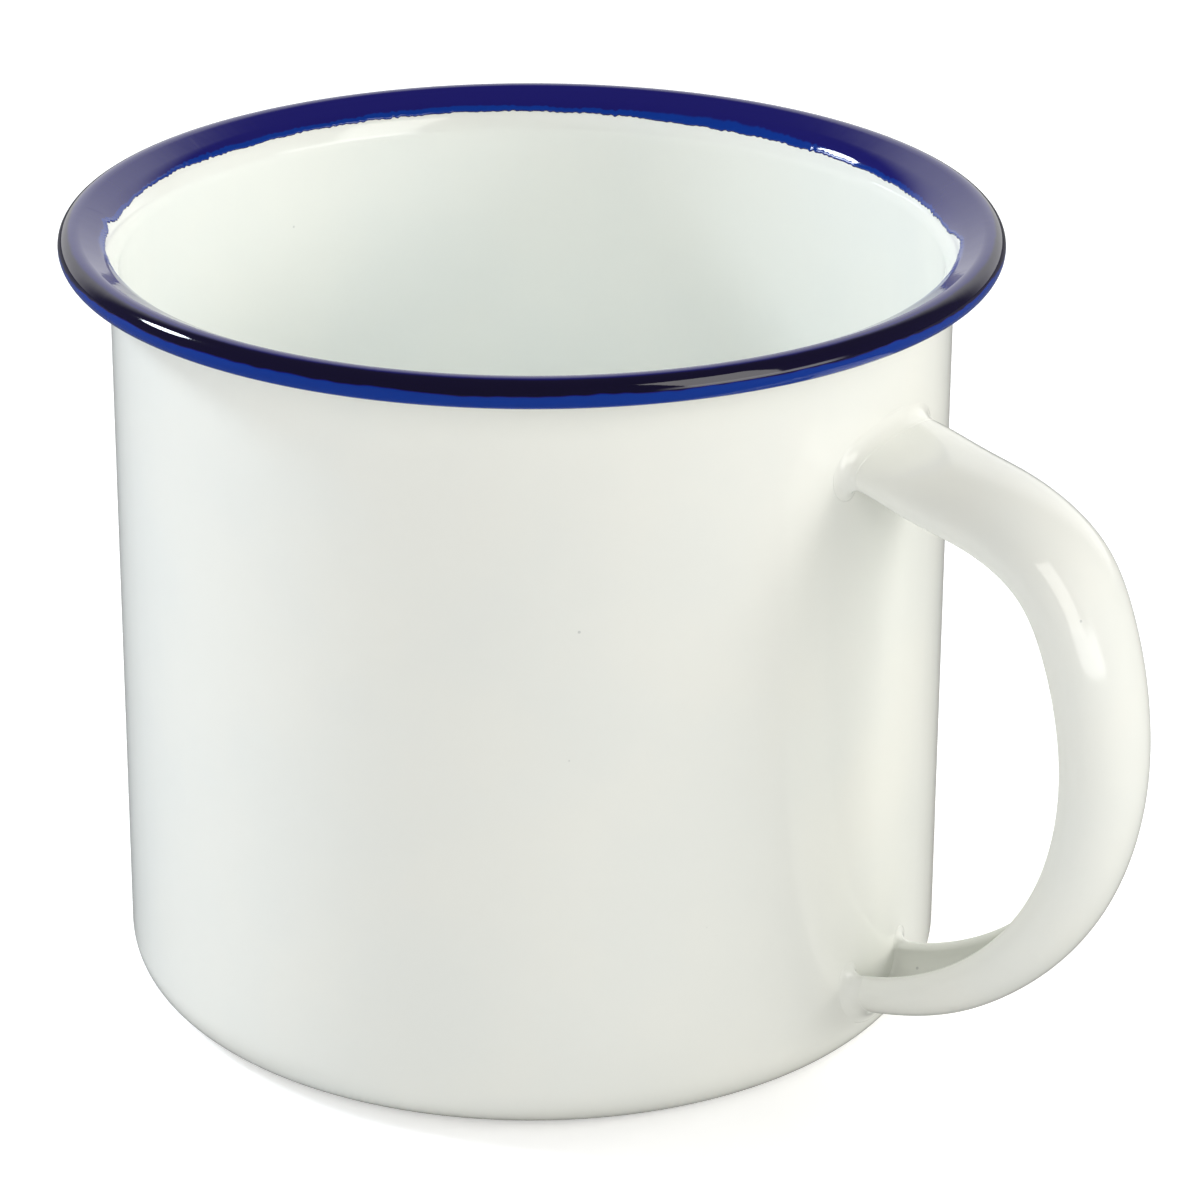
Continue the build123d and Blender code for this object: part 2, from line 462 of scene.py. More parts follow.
# ---- Mesh tools --------------------------------------------------------------------------
class Skin:
    """Collects grids of points into one smooth mesh."""

    def __init__(self) -> None:
        """Starts empty."""
        self.points: list[np.ndarray] = []
        self.faces: list[tuple[int, ...]] = []
        self.values: list[np.ndarray] = []
        self.count = 0

    def grid(
        self,
        points: np.ndarray,
        wrap_rows: bool = False,
        wrap_columns: bool = False,
        flip: bool = False,
        values: np.ndarray | None = None,
    ) -> np.ndarray:
        """Adds a grid of quads.

        Args:
            points: Array of rows x columns x 3, in millimetres.
            wrap_rows: Whether the last row joins the first.
            wrap_columns: Whether the last column joins the first.
            flip: Whether to turn the faces round.
            values: One number for each point, for an attribute.

        Returns:
            The points' numbers in the mesh, as rows x columns.
        """
        rows, columns = points.shape[:2]
        numbers = np.arange(rows * columns).reshape(rows, columns) + self.count
        self.points.append(points.reshape(-1, 3))
        filler = np.zeros(rows * columns) if values is None else values.reshape(-1)
        self.values.append(filler)
        self.count += rows * columns
        self.join(numbers, wrap_rows, wrap_columns, flip)
        return numbers

    def join(self, numbers: np.ndarray, wrap_rows: bool, wrap_columns: bool, flip: bool) -> None:
        """Adds quads between neighbouring numbers of a grid."""
        down = np.vstack([numbers, numbers[:1]]) if wrap_rows else numbers
        both = np.hstack([down, down[:, :1]]) if wrap_columns else down
        a, b = both[:-1, :-1], both[:-1, 1:]
        c, d = both[1:, 1:], both[1:, :-1]
        order = (a, d, c, b) if flip else (a, b, c, d)
        quads = np.stack([part.reshape(-1) for part in order], axis=1)
        self.faces += [tuple(int(i) for i in quad) for quad in quads]

    def fan(self, ring: Sequence[int], centre: Sequence[float], flip: bool = False) -> None:
        """Closes a ring of numbers with triangles to one point.

        Args:
            ring: The ring's numbers, in order.
            centre: The point, in millimetres.
            flip: Whether to turn the faces round.
        """
        middle = self.count
        self.points.append(np.array([centre], float))
        self.values.append(np.zeros(1))
        self.count += 1
        for first, second in zip(ring, list(ring[1:]) + [ring[0]]):
            face = (int(second), int(first), middle) if flip else (int(first), int(second), middle)
            self.faces.append(face)

    def build(self, name: str, attribute: str | None = None) -> bpy.types.Object:
        """Makes the object.

        Args:
            name: The object's name.
            attribute: Name for the points' numbers, or None to leave them out.

        Returns:
            The new object, smooth shaded and linked to the scene.
        """
        mesh = bpy.data.meshes.new(name)
        points = np.vstack(self.points) * MM
        mesh.from_pydata(points.tolist(), [], self.faces)
        mesh.validate()
        mesh.shade_smooth()
        if attribute:
            layer = mesh.attributes.new(attribute, "FLOAT", "POINT")
            layer.data.foreach_set("value", np.concatenate(self.values).astype(np.float32))
        piece = bpy.data.objects.new(name, mesh)
        bpy.context.scene.collection.objects.link(piece)
        return piece


def ring_points(radii: np.ndarray, heights: np.ndarray, angles: np.ndarray) -> np.ndarray:
    """Points of a surface of revolution.

    Args:
        radii: Radius at each place, as rows, or rows x angles.
        heights: Height at each place, shaped as radii.
        angles: Angles round the axis, in radians.

    Returns:
        Array of rows x angles x 3.
    """
    if radii.ndim == 1:
        radii = np.repeat(radii[:, None], len(angles), axis=1)
        heights = np.repeat(heights[:, None], len(angles), axis=1)
    return np.stack([radii * np.cos(angles), radii * np.sin(angles), heights], axis=2)


def smooth_step(x: np.ndarray, low: float, high: float) -> np.ndarray:
    """Smooth step from 0 at low to 1 at high."""
    t = np.clip((x - low) / (high - low), 0.0, 1.0)
    return t * t * (3.0 - 2.0 * t)


def ripple(angles: np.ndarray, waves: Iterable[int], seed: int) -> np.ndarray:
    """Sum of sines round a circle, about 1 high, with phases set by a seed.

    Args:
        angles: Angles in radians.
        waves: Whole numbers of waves round the circle.
        seed: Seed of the phases and strengths.

    Returns:
        One number for each angle.
    """
    draw = np.random.default_rng(seed)
    total = np.zeros_like(angles)
    size = 0.0
    for wave in waves:
        strength = draw.uniform(0.5, 1.0)
        total += strength * np.sin(wave * angles + draw.uniform(0.0, 2.0 * math.pi))
        size += strength * strength
    return total / math.sqrt(size)


# ---- The cup's sheet ---------------------------------------------------------------------
@dataclass
class CupSheet:
    """Profile of the drawn cup: marks on the middle of the sheet, with normals to the inside."""

    inside_radius: float
    rim_radius: float
    height: float
    corner_radius: float = 5.0
    flare_radius: float = 3.15
    flare_angle: float = 64.5
    bead_radius: float = 0.95
    bead_turn: float = 280.0
    steel: float = 0.50
    ground: float = 0.08
    cover: float = 0.12
    rim_coat: float = 0.10

    def __post_init__(self) -> None:
        """Works out the derived sizes."""
        self.ground_half = self.steel / 2 + self.ground
        self.cover_half = self.ground_half + self.cover
        self.wall = self.inside_radius + 2 * self.cover_half
        self.middle = self.inside_radius + self.cover_half
        reach = self.bead_radius + self.cover_half + self.rim_coat
        self.bead = (self.rim_radius - reach, self.height - reach)
        self.bead_start = 180.0 - self.flare_angle
        lean = math.radians(self.flare_angle)
        flare_x = self.middle + self.flare_radius
        drop = self.flare_radius - self.bead_radius
        drop += math.cos(lean) * (self.bead[0] - flare_x)
        self.flare = (flare_x, self.bead[1] - drop / math.sin(lean))
        self.corner = (self.wall - self.corner_radius, self.corner_radius)

    def arc(
        self, centre: tuple[float, float], radius: float, angles: np.ndarray, side: float = 1.0
    ) -> np.ndarray:
        """Marks on an arc.

        Args:
            centre: The arc's centre, as radius and height.
            radius: The arc's radius.
            angles: Angles in degrees.
            side: 1 where the cup's inside lies outside the arc, -1 where it lies inside.

        Returns:
            Rows of radius, height, normal radius part and normal height part.
        """
        turn = np.radians(angles)
        c, s = np.cos(turn), np.sin(turn)
        return np.stack(
            [centre[0] + radius * c, centre[1] + radius * s, side * c, side * s], axis=1
        )

    def line(self, first: np.ndarray, last: np.ndarray, steps: int) -> np.ndarray:
        """Marks on a straight between two marks, ends left out."""
        share = (np.arange(1, steps) / steps)[:, None]
        return first * (1 - share) + last * share

    def marks(self, edge_wrap: float = 0.0) -> np.ndarray:
        """Marks of the whole sheet, from the axis to its edge, run on by edge_wrap."""
        corner_bend = self.corner_radius - self.cover_half
        corner = self.arc(self.corner, corner_bend, np.linspace(-90, 0, 25), side=-1.0)
        flare = self.arc(self.flare, self.flare_radius, np.linspace(180, self.bead_start, 25))
        turn = self.bead_turn + math.degrees(edge_wrap / self.bead_radius)
        bead_angles = self.bead_start - np.linspace(0, turn, 73)
        bead = self.arc(self.bead, self.bead_radius, bead_angles)
        centre = np.array([0.0, self.cover_half, 0.0, 1.0])
        return np.vstack([
            centre,
            self.line(centre, corner[0], 14),
            corner,
            self.line(corner[-1], flare[0], 34),
            flare,
            self.line(flare[-1], bead[0], 5),
            bead,
        ])

    def rim_mark(self, travel: np.ndarray) -> np.ndarray:
        """Marks on the rim by travel: 0 to flare_angle on the flare, then round the bead.

        Args:
            travel: Degrees turned from the wall: the flare first, then the bead.

        Returns:
            Array shaped as travel, with the four numbers of a mark last.
        """
        on_flare = travel < self.flare_angle
        angle = np.radians(180.0 - travel)
        c, s = np.cos(angle), np.sin(angle)
        centre_r = np.where(on_flare, self.flare[0], self.bead[0])
        centre_z = np.where(on_flare, self.flare[1], self.bead[1])
        radius = np.where(on_flare, self.flare_radius, self.bead_radius)
        return np.stack([centre_r + radius * c, centre_z + radius * s, c, s], axis=-1)


def moved(marks: np.ndarray, offset: Union[float, np.ndarray]) -> tuple[np.ndarray, np.ndarray]:
    """Radii and heights of marks moved along their normals."""
    return marks[..., 0] + offset * marks[..., 2], marks[..., 1] + offset * marks[..., 3]


# ---- Cup ---------------------------------------------------------------------------------
@dataclass
class Cup:
    """The cup's white coat, a closed layer of glass inside and outside."""

    sheet: CupSheet
    segments: int = 384
    edge_steps: int = 6

    def layer(self, half: float, edge_wrap: float) -> tuple[np.ndarray, np.ndarray]:
        """Outline of the coated sheet, from the axis inside to the axis underneath.

        Args:
            half: Half the thickness out to this outline.
            edge_wrap: How far the coat passes the sheet's edge.

        Returns:
            Radii and heights.
        """
        marks = self.sheet.marks()
        inner = np.stack(moved(marks, half), axis=1)
        outer = np.stack(moved(marks[::-1], -half), axis=1)
        edge = marks[-1]
        forward = np.array([edge[3], -edge[2]])
        turns = np.linspace(0, math.pi, self.edge_steps + 2)[1:-1]
        cap = [
            edge[:2] + half * math.cos(t) * edge[2:] + edge_wrap * math.sin(t) * forward
            for t in turns
        ]
        outline = np.vstack([inner, cap, outer])
        return outline[:, 0], outline[:, 1]

    def spin(self, skin: Skin, outline: tuple[np.ndarray, np.ndarray], flip: bool) -> None:
        """Adds one closed surface of revolution to a skin."""
        radii, heights = outline
        angles = np.linspace(0, 2 * math.pi, self.segments, endpoint=False)
        numbers = skin.grid(
            ring_points(radii[1:-1], heights[1:-1], angles), wrap_columns=True, flip=not flip
        )
        skin.fan(list(numbers[0]), (0.0, 0.0, heights[0]), flip=flip)
        skin.fan(list(numbers[-1]), (0.0, 0.0, heights[-1]), flip=not flip)

    def build(self, paint: Paintbox) -> bpy.types.Object:
        """Builds and dresses the coat.

        Args:
            paint: The finishes.

        Returns:
            The white coat of the cup.
        """
        skin = Skin()
        sheet = self.sheet
        self.spin(skin, self.layer(sheet.cover_half, sheet.ground + sheet.cover), flip=False)
        self.spin(skin, self.layer(sheet.ground_half, sheet.ground), flip=True)
        return paint.hand_over(skin.build("cup_white_glass"), Coat.WHITE, "cup_white_enamel")


@dataclass
class BlueRim:
    """The blue coat over the flare and the bead, with its ragged edge inside the mouth.

    edge_line holds where the blue begins: degrees round the cup and degrees up the flare.
    The bands, the lip and the edge under the bead, where the painted dark band gives way to the
    painted bright lower face, are degrees of turn on the sheet.
    """

    sheet: CupSheet
    edge_line: tuple[tuple[float, float], ...] = (
        (31.0, 50.0),
        (34.0, 44.0),
        (38.0, 31.0),
        (52.0, 27.5),
        (72.0, 29.0),
        (92.0, 31.0),
        (103.0, 32.0),
        (112.0, 36.0),
        (130.0, 39.5),
        (160.0, 39.5),
        (171.0, 37.6),
        (185.0, 42.0),
        (197.0, 41.0),
        (208.5, 38.5),
        (211.6, 53.0),
        (214.0, 43.0),
        (219.0, 48.0),
        (245.0, 43.0),
        (300.0, 41.0),
    )
    end: float = 240.0
    segments: int = 1440
    rows: int = 96
    scallop: float = 0.75
    edge_rise: float = 0.30
    thin_band: float = 8.0
    wide_band_at: float = 95.0
    wide_band_reach: float = 20.0
    wide_band_extra: float = 7.0
    bead_edge: float = 171.0
    bead_edge_blur: float = 4.0
    lip: float = 1.1
    lip_bead_at: float = 2.6
    lip_bead_width: float = 2.2
    sunk_top: float = 0.03
    sunk_bottom: float = 0.05

    def edge(self, angles: np.ndarray) -> np.ndarray:
        """Where the blue begins at each angle round the cup, in degrees up the flare."""
        knots = np.array(self.edge_line)
        line = np.interp(np.degrees(angles), knots[:, 0], knots[:, 1], period=360.0)
        weights = np.hanning(13)
        soft = np.convolve(np.concatenate([line[-6:], line, line[:6]]), weights, "valid")
        brushed = ripple(angles, range(190, 420, 11), seed=4) + ripple(angles, range(30, 90, 7), 7)
        return soft / weights.sum() + self.scallop * brushed

    def depth(self, gone: np.ndarray, travel: np.ndarray, angles: np.ndarray) -> np.ndarray:
        """How dark the blue is drawn: 0 thin, 0.5 on the flare, 1 as a painted dark reflection
        across the bead, which turns to painted bright blue on its lower face.

        Args:
            gone: Degrees past the edge.
            travel: Degrees from the wall.
            angles: Angles round the cup.

        Returns:
            The coat's thickness with the painted bead bands, shaped as travel.
        """
        band = self.thin_band * (1.0 + 0.35 * ripple(angles, (1, 2, 3, 5, 9), 12))
        off_widest = (np.degrees(angles) - self.wide_band_at) / self.wide_band_reach
        band = band + self.wide_band_extra * np.exp(-(off_widest**2))
        line = 0.6 * ripple(angles, range(20, 90, 6), 31)
        flare = 0.5 * smooth_step(gone - line, 0.6 * band, 1.4 * band)
        # Painted dark reflection: the bead's top and outer face are drawn as dark pooled glass,
        # for the dark room that they mirror.
        pooled = 0.5 * smooth_step(travel, 96.0, 122.0)
        # Painted light: past bead_edge, with this wave, the bead's lower face falls back to the
        # bright thin blue, for the floor's light on it.
        wave = 3.5 * ripple(angles, (2, 3, 7, 11, 17, 29), 3)
        wave = wave + 1.2 * ripple(angles, range(40, 150, 9), 8)
        blur = self.bead_edge_blur
        under = smooth_step(travel - wave, self.bead_edge - blur, self.bead_edge + blur)
        rim_line = 0.75 * np.exp(-(((gone - 0.7) / 0.7) ** 2))
        return (flare + pooled) * (1.0 - under) + rim_line

    def build(self, paint: Paintbox) -> bpy.types.Object:
        """Builds and dresses the blue coat.

        Args:
            paint: The finishes.

        Returns:
            The blue coat.
        """
        sheet = self.sheet
        angles = np.linspace(0, 2 * math.pi, self.segments, endpoint=False)
        first = self.edge(angles)[None, :]
        share = np.linspace(0.0, 1.0, self.rows)[:, None]
        travel = first + (0.3 * share + 0.7 * share * share) * (self.end - first)
        mark = sheet.rim_mark(travel)
        gone = travel - first
        lip = 1.0 - np.exp(-gone / self.lip)
        bead_line = np.exp(-(((gone - self.lip_bead_at) / self.lip_bead_width) ** 2))
        cover = lip * (1.0 + self.edge_rise * bead_line)
        cover = cover * smooth_step(self.end - travel, -6.0, 14.0)
        lowest = sheet.cover_half - self.sunk_top
        outer = moved(mark, lowest + (sheet.rim_coat + self.sunk_top) * cover)
        inner = moved(mark, sheet.cover_half - self.sunk_bottom)
        depth = self.depth(gone, travel, angles)
        skin = Skin()
        top = skin.grid(
            ring_points(outer[0], outer[1], angles), wrap_columns=True, flip=True, values=depth
        )
        under = skin.grid(
            ring_points(inner[0], inner[1], angles), wrap_columns=True, flip=False, values=depth
        )
        skin.join(np.vstack([top[:1], under[:1]]), False, True, False)
        skin.join(np.vstack([under[-1:], top[-1:]]), False, True, False)
        coat = skin.build("rim_blue_glass", BlueEnamel.thickness)
        return paint.hand_over(coat, Coat.BLUE, "rim_blue_enamel")


# ---- Handle ------------------------------------------------------------------------------
class Smooth:
    """Cubic spline through values of any shape, with the same cubic in each end's two spans."""

    def __init__(self, at: np.ndarray, values: np.ndarray) -> None:
        """Solves the spline.

        Args:
            at: Where the values stand, rising.
            values: One value for each place, of any shape.
        """
        self.at = at
        self.values = values
        count = len(at)
        h = np.diff(at)
        flat = values.reshape(count, -1)
        rows = np.zeros((count, count))
        right = np.zeros(flat.shape)
        for i in range(1, count - 1):
            rows[i, i - 1 : i + 2] = h[i - 1], 2 * (h[i - 1] + h[i]), h[i]
            after = (flat[i + 1] - flat[i]) / h[i]
            before = (flat[i] - flat[i - 1]) / h[i - 1]
            right[i] = 6 * (after - before)
        rows[0, :3] = h[1], -(h[0] + h[1]), h[0]
        rows[-1, -3:] = h[-1], -(h[-1] + h[-2]), h[-2]
        self.bends = np.linalg.solve(rows, right).reshape(values.shape)

    def _span(self, t: np.ndarray) -> tuple[np.ndarray, np.ndarray, np.ndarray, np.ndarray]:
        """Span number, its length and the two weights at each place."""
        i = np.clip(np.searchsorted(self.at, t, side="right") - 1, 0, len(self.at) - 2)
        h = self.at[i + 1] - self.at[i]
        a = (self.at[i + 1] - t) / h
        return i, h[..., None], a[..., None], (1.0 - a)[..., None]

    def __call__(self, t: np.ndarray) -> np.ndarray:
        """Values at places t, for values that are rows of numbers."""
        i, h, a, b = self._span(t)
        p, m = self.values, self.bends
        bend = ((a**3 - a) * m[i] + (b**3 - b) * m[i + 1]) * h * h / 6.0
        return a * p[i] + b * p[i + 1] + bend

    def slope(self, t: np.ndarray) -> np.ndarray:
        """Unit directions at places t, for values that are rows of numbers."""
        i, h, a, b = self._span(t)
        p, m = self.values, self.bends
        rise = ((1.0 - 3 * a * a) * m[i] + (3 * b * b - 1.0) * m[i + 1]) * h / 6.0
        way = (p[i + 1] - p[i]) / h + rise
        return way / np.linalg.norm(way, axis=-1, keepdims=True)

    def each(self, t: np.ndarray) -> np.ndarray:
        """Values where every column has its own place.

        Args:
            t: Places, as rows x columns, for values that are columns x numbers.

        Returns:
            Array of rows x columns x numbers.
        """
        i, h, a, b = self._span(t)
        column = np.arange(t.shape[1])[None, :]
        p, m = self.values, self.bends
        bend = ((a**3 - a) * m[i, column] + (b**3 - b) * m[i + 1, column]) * h * h / 6.0
        return a * p[i, column] + b * p[i + 1, column] + bend


@dataclass
class HandleSheet:
    """The pressed channel: its line from wall to wall and its section along the way."""

    wall: float
    cup_height: float
    below_rim: float = 16.3
    bottom: float = 10.1
    gap: float = 21.5
    widths: tuple[float, float, float] = (14.9, 11.9, 9.9)
    depths: tuple[float, float, float] = (4.1, 5.4, 5.1)
    lip_turn: float = 18.0
    steel: float = 0.60
    ground: float = 0.08
    cover: float = 0.12
    stations: int = 12
    run_in: float = 5.0
    across: int = 72
    lip: int = 14
    line: tuple[tuple[float, float], ...] = (
        (0.000, 1.000),
        (0.465, 0.938),
        (0.770, 0.864),
        (0.925, 0.729),
        (1.000, 0.524),
        (0.878, 0.276),
        (0.669, 0.148),
        (0.461, 0.074),
        (0.000, 0.000),
    )

    def __post_init__(self) -> None:
        """Works out the thicknesses and the handle's curve."""
        self.ground_half = self.steel / 2 + self.ground
        self.cover_half = self.ground_half + self.cover
        rise = self.cup_height - self.below_rim - self.bottom
        knots = np.array(self.line) * (self.gap, rise)
        knots = knots + (self.wall, self.bottom)
        chords = np.hypot(*np.diff(knots, axis=0).T)
        self.path = Smooth(np.concatenate([[0.0], np.cumsum(chords)]), knots)
        self.fine = np.linspace(0, self.path.at[-1], 4001)
        steps = np.hypot(*np.diff(self.path(self.fine), axis=0).T)
        self.travel = np.concatenate([[0.0], np.cumsum(steps)])
        self.length = float(self.travel[-1])

    @staticmethod
    def between(values: tuple[float, float, float], share: float) -> float:
        """Smooth value between three given at the start, the middle and the end."""
        first, middle, last = values
        bow = 4 * middle - 2 * (first + last)
        return first * (1 - share) + last * share + bow * share * (1 - share)

    def section(self, share: float, half: float) -> tuple[np.ndarray, np.ndarray]:
        """Outline of the channel: the outside, one lip, the inside, the other lip.

        Args:
            share: Share of the way along the handle.
            half: Distance from the middle of the sheet to each face.

        Returns:
            Points as rows of width and depth, and their outward normals.
        """
        turn = math.radians(90 + self.lip_turn)
        tuck = math.sin(math.radians(self.lip_turn))
        wide = self.between(self.widths, share) / 2 - self.cover_half
        rise = (self.between(self.depths, share) - 2 * self.cover_half) / (1 + tuck)
        angles = np.linspace(-turn, turn, self.across)
        middle = np.stack(
            [wide * np.sin(angles), self.cover_half + rise * (np.cos(angles) + tuck)], axis=1
        )
        normal = np.stack([rise * np.sin(angles), wide * np.cos(angles)], axis=1)
        normal = normal / np.linalg.norm(normal, axis=1, keepdims=True)
        turns = np.linspace(0, math.pi, self.lip + 2)[1:-1, None]
        lips = []
        for end, sign in ((-1, 1.0), (0, -1.0)):
            out = normal[end]
            forward = np.array([out[1], -out[0]]) * sign
            start = out if sign > 0 else -out
            lips.append((middle[end], np.cos(turns) * start + np.sin(turns) * forward))
        points = np.vstack([
            middle + half * normal,
            lips[0][0] + half * lips[0][1],
            (middle - half * normal)[::-1],
            lips[1][0] + half * lips[1][1],
        ])
        return points, np.vstack([normal, lips[0][1], -normal[::-1], lips[1][1]])

    def skin(self, half: float) -> Smooth:
        """Surface through the channel's sections, by distance along the handle.

        Args:
            half: Distance from the middle of the sheet to the surface.

        Returns:
            Spline of section points, which runs on inwards past both walls.
        """
        places, shares, ways, rows = [], [], [], []
        for i in range(self.stations + 1):
            share = i / self.stations
            at = np.interp(share * self.length, self.travel, self.fine)
            place = self.path(np.array([at]))[0]
            way = self.path.slope(np.array([at]))[0]
            if i in (0, self.stations):
                way = np.array([1.0 if i == 0 else -1.0, 0.0])
                past = -self.run_in if i == 0 else self.length + self.run_in
                ends = (past, share * self.length)
                places += ends if i == 0 else ends[::-1]
                inward = place - np.array([self.run_in, 0.0])
                rows += (inward, place) if i == 0 else (place, inward)
                shares += (share, share)
                ways += (way, way)
                continue
            places.append(share * self.length)
            rows.append(place)
            shares.append(share)
            ways.append(way)
        sections = []
        for share, place, way in zip(shares, rows, ways):
            outline, _ = self.section(share, half)
            x = place[0] - outline[:, 1] * way[1]
            z = place[1] + outline[:, 1] * way[0]
            sections.append(np.stack([x, outline[:, 0], z], axis=1))
        return Smooth(np.array(places), np.array(sections))


@dataclass
class Handle:
    """The handle's white coat: the channel's skin with its rounded lips."""

    sheet: HandleSheet
    rows: int = 220
    buried: float = 0.05
    settle: float = 3.0
    pooled: float = 0.05
    pooled_at: float = 6.0
    pooled_reach: float = 5.0

    def pull(self, half: float, share: float, radius: float) -> np.ndarray:
        """How far each point of an end section goes past the wall's front to meet a radius."""
        across = self.sheet.section(share, half)[0][:, 0]
        return self.sheet.wall - np.sqrt(radius**2 - across**2)

    def surface(self, half: float, at: np.ndarray, pooled: float = 0.0) -> np.ndarray:
        """Points of one skin of the handle.

        Args:
            half: Distance from the middle of the sheet to the skin.
            at: Distance along the handle, as rows x section points.
            pooled: How much thicker the glass runs just below the upper joint.

        Returns:
            Array of rows x section points x 3.
        """
        points = self.sheet.skin(half).each(at)
        if not pooled:
            return points
        share = np.exp(-(((at - self.pooled_at) / self.pooled_reach) ** 2))[..., None]
        return points + share * (self.sheet.skin(half + pooled).each(at) - points)

    def tube(self, half: float, pooled: float = 0.0) -> np.ndarray:
        """One whole skin, from the upper joint to the lower one, ending inside the wall.

        Args:
            half: Distance from the middle of the sheet to this skin.
            pooled: How much thicker the glass runs just below the upper joint.

        Returns:
            Array of rows x section points x 3.
        """
        length = self.sheet.length
        inside = self.sheet.wall - self.buried
        travel = np.linspace(0, length, self.rows)[:, None]
        upper = self.pull(half, 0.0, inside) * (1 - smooth_step(travel, 0.0, self.settle))
        lower = self.pull(half, 1.0, inside)
        lower = lower * (1 - smooth_step(length - travel, 0.0, self.settle))
        return self.surface(half, travel - upper + lower, pooled)

    def build(self, paint: Paintbox) -> bpy.types.Object:
        """Builds and dresses the coat.

        Args:
            paint: The finishes.

        Returns:
            The white coat of the handle.
        """
        skin = Skin()
        outer = skin.grid(
            self.tube(self.sheet.cover_half, self.pooled), wrap_columns=True, flip=True
        )
        inner = skin.grid(self.tube(self.sheet.ground_half), wrap_columns=True, flip=False)
        skin.join(np.vstack([outer[:1], inner[:1]]), False, True, False)
        skin.join(np.vstack([inner[-1:], outer[-1:]]), False, True, False)
        coat = skin.build("handle_white_glass")
        return paint.hand_over(coat, Coat.WHITE, "handle_white_enamel")


class Joint(Enum):
    """The handle's two joints: share along the handle, and which way the crown points."""

    UPPER = (0.0, 1.0)
    LOWER = (1.0, -1.0)


@dataclass
class JointGlass:
    """Pooled white glass in the corner between the wall and one end of the handle."""

    handle: Handle
    joint: Joint
    reach: float = 1.25
    inner_reach: float = 0.35
    lip_pool: float = 0.28
    lip_size: float = 0.9
    steps: int = 16
    buried: float = 0.06

    def row(
        self, outline: np.ndarray, normals: np.ndarray, gap: np.ndarray, off: np.ndarray
    ) -> np.ndarray:
        """Points at the given distances from the wall and from the handle's face.

        Args:
            outline: The end section, as rows of width and depth.
            normals: Its outward normals.
            gap: Distance from the wall at each point.
            off: Distance from the handle's face at each point.

        Returns:
            Rows of X, Y and Z.
        """
        share, side = self.joint.value
        sheet = self.handle.sheet
        half = sheet.cover_half
        pull = self.handle.pull(half, share, sheet.wall)
        at = gap - pull if side > 0 else sheet.length - gap + pull
        points = self.handle.surface(half, at[None, :], self.handle.pooled)[0]
        y = outline[:, 0] + off * normals[:, 0]
        shift = np.sqrt(sheet.wall**2 - y**2) - np.sqrt(sheet.wall**2 - outline[:, 0] ** 2)
        near = np.clip(1.0 - gap / self.reach, 0.0, 1.0)
        points[:, 0] += shift * near
        points[:, 1] += off * normals[:, 0]
        points[:, 2] += side * off * normals[:, 1]
        return points

    def reaches(self, outline: np.ndarray) -> np.ndarray:
        """How far the fillet reaches at each point of the section, with a bead at each lip."""
        across, lip = self.handle.sheet.across, self.handle.sheet.lip
        ramp = np.linspace(0, 1, lip + 2)[1:-1]
        inside = np.concatenate([np.zeros(across), ramp, np.ones(across), ramp[::-1]])
        inside = smooth_step(inside, 0.2, 0.8)
        lips = np.exp(-(((outline[:, 1] - outline[:, 1].min()) / self.lip_size) ** 2))
        reach = self.reach * (1 - inside) + self.inner_reach * inside
        return reach + self.lip_pool * lips * (1 - inside)

    def build(self, paint: Paintbox) -> bpy.types.Object:
        """Builds and dresses the fillet.

        Args:
            paint: The finishes.

        Returns:
            The fillet.
        """
        share, _ = self.joint.value
        sheet = self.handle.sheet
        outline, normals = sheet.section(share, sheet.cover_half)
        reach = self.reaches(outline)
        sunk = np.full(len(outline), -self.buried)
        rows = []
        for turn in np.radians(np.linspace(0.0, 90.0, self.steps)):
            gap = reach * (1 - math.cos(turn))
            rows.append(self.row(outline, normals, gap, reach * (1 - math.sin(turn))))
        rows.append(self.row(outline, normals, reach, sunk))
        rows.append(self.row(outline, normals, sunk, sunk))
        rows.append(self.row(outline, normals, sunk, reach))
        skin = Skin()
        flip = self.joint is Joint.UPPER
        skin.grid(np.array(rows), wrap_rows=True, wrap_columns=True, flip=flip)
        name = self.joint.name.lower()
        fillet = skin.build(f"{name}_joint_glass")
        return paint.hand_over(fillet, Coat.WHITE, f"{name}_joint_enamel")


# ---- Hidden pieces -----------------------------------------------------------------------
@dataclass
class HiddenPieces:
    """The CAD nodes that stay as they are, inside the glass."""

    coats: dict[str, Coat] = field(default_factory=lambda: {
        "steel_cup": Coat.STEEL,
        "steel_handle": Coat.STEEL,
        "upper_welds": Coat.WELD,
        "lower_welds": Coat.WELD,
        "cup_ground_enamel": Coat.GROUND,
        "handle_ground_enamel": Coat.GROUND,
    })

    def dress(self, paint: Paintbox) -> None:
        """Gives each node its finish."""
        for name, coat in self.coats.items():
            paint.dress(frame["nodes"][name], coat)
            LOG.info("%s dressed as %s", name, coat.value.name)


